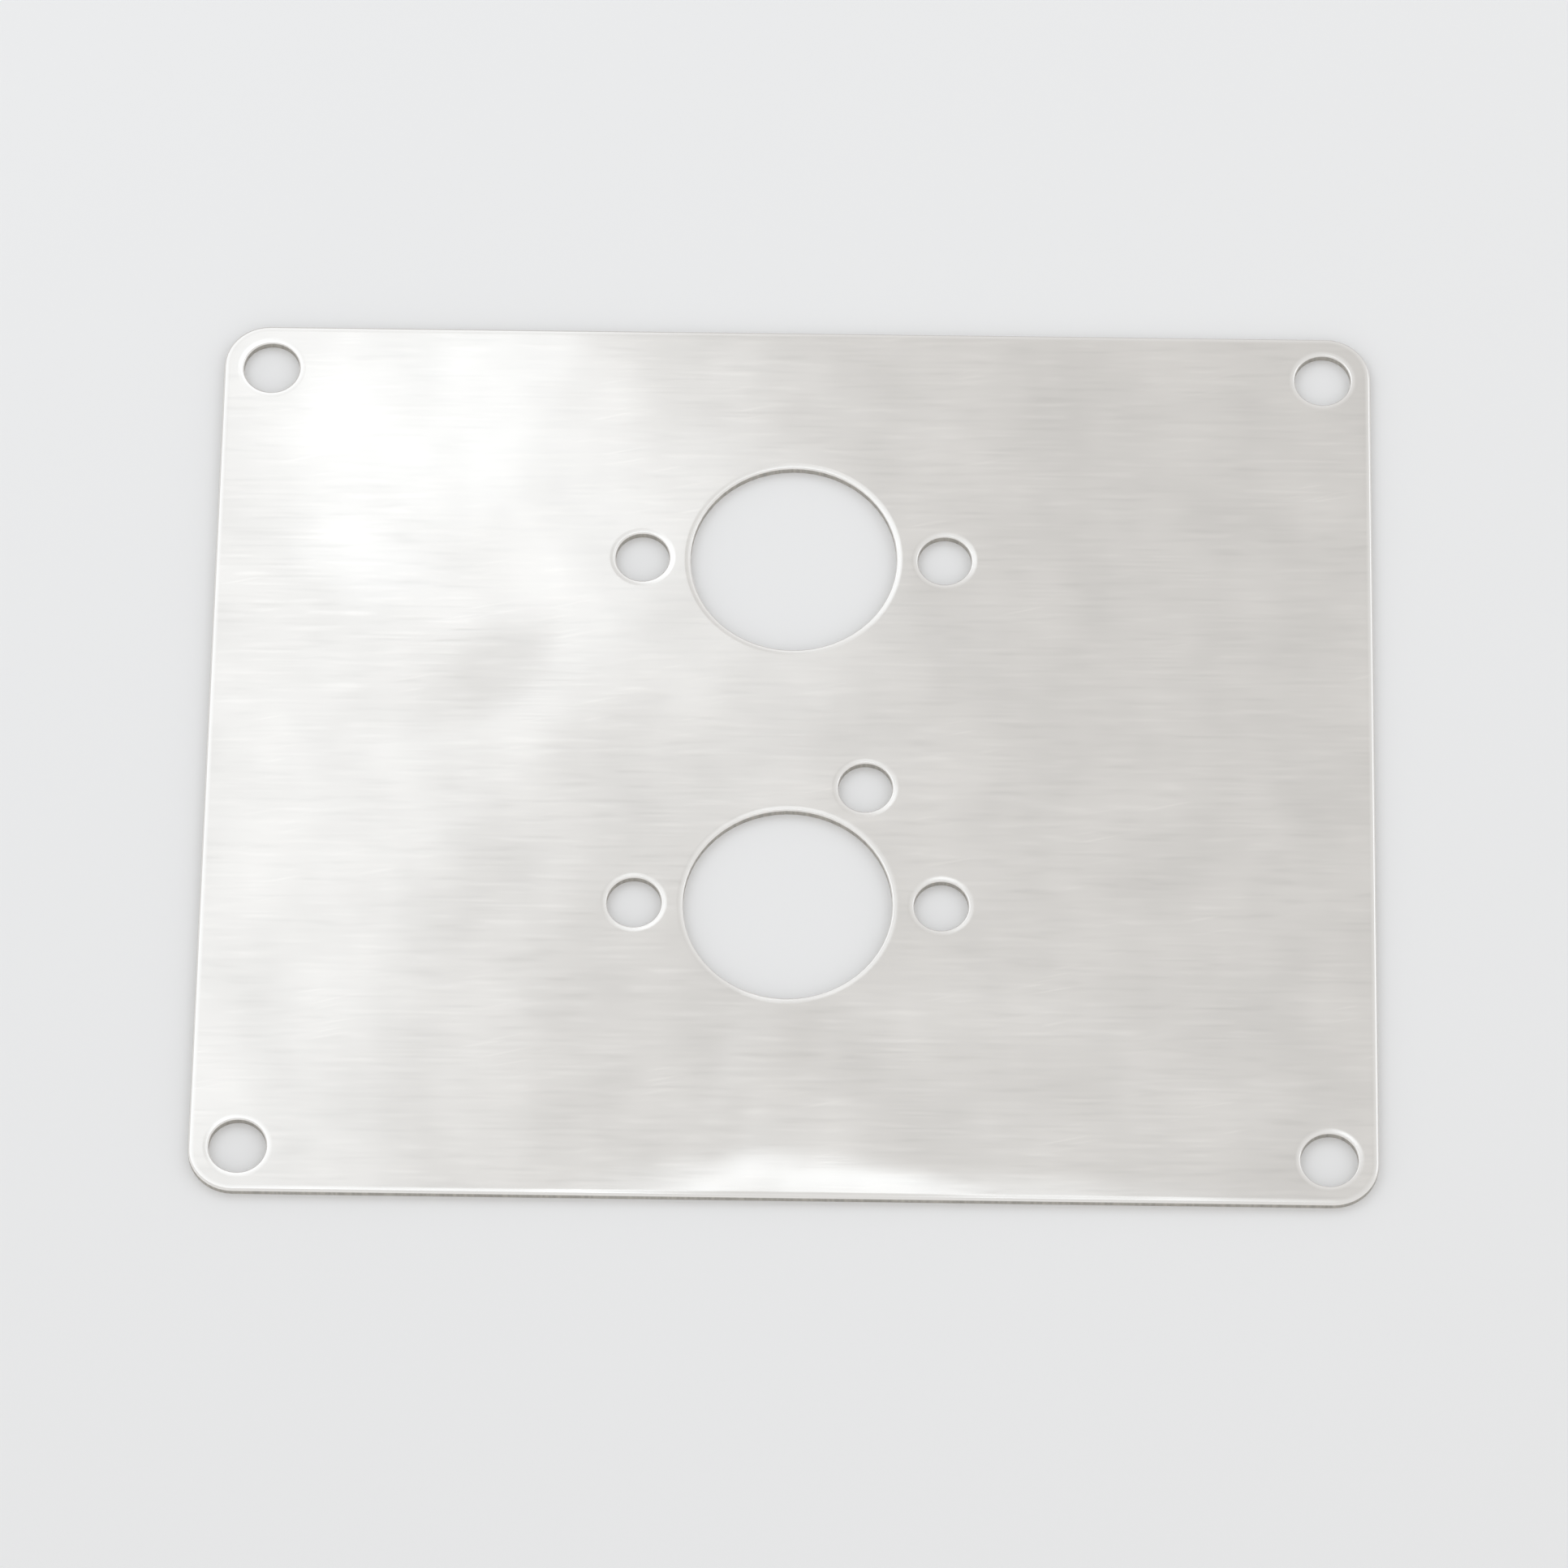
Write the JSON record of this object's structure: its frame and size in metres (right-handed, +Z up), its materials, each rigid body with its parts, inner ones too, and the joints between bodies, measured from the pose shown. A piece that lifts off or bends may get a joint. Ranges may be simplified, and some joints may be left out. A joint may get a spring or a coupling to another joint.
{
  "type": "heater mounting plate",
  "caption": "Flat rectangular mounting plate of brushed stainless sheet with rounded corners, corner fixing holes, two large pipe ports, heater stud holes and a fuel-line hole.",
  "frame": {"origin": "on the plate's underside, at the middle of its outline", "axes": "+X along the long side, +Y from the front edge to the rear edge, which is the edge that the heater's footprint lies nearer to, +Z up from the underside to the top face"},
  "size_m": [0.18, 0.15, 0.0015],
  "materials": {
    "brushed_stainless": "brushed along the long side"
  },
  "bodies": {
    "root": {"mounting_plate": "brushed_stainless"}
  },
  "joints": []
}
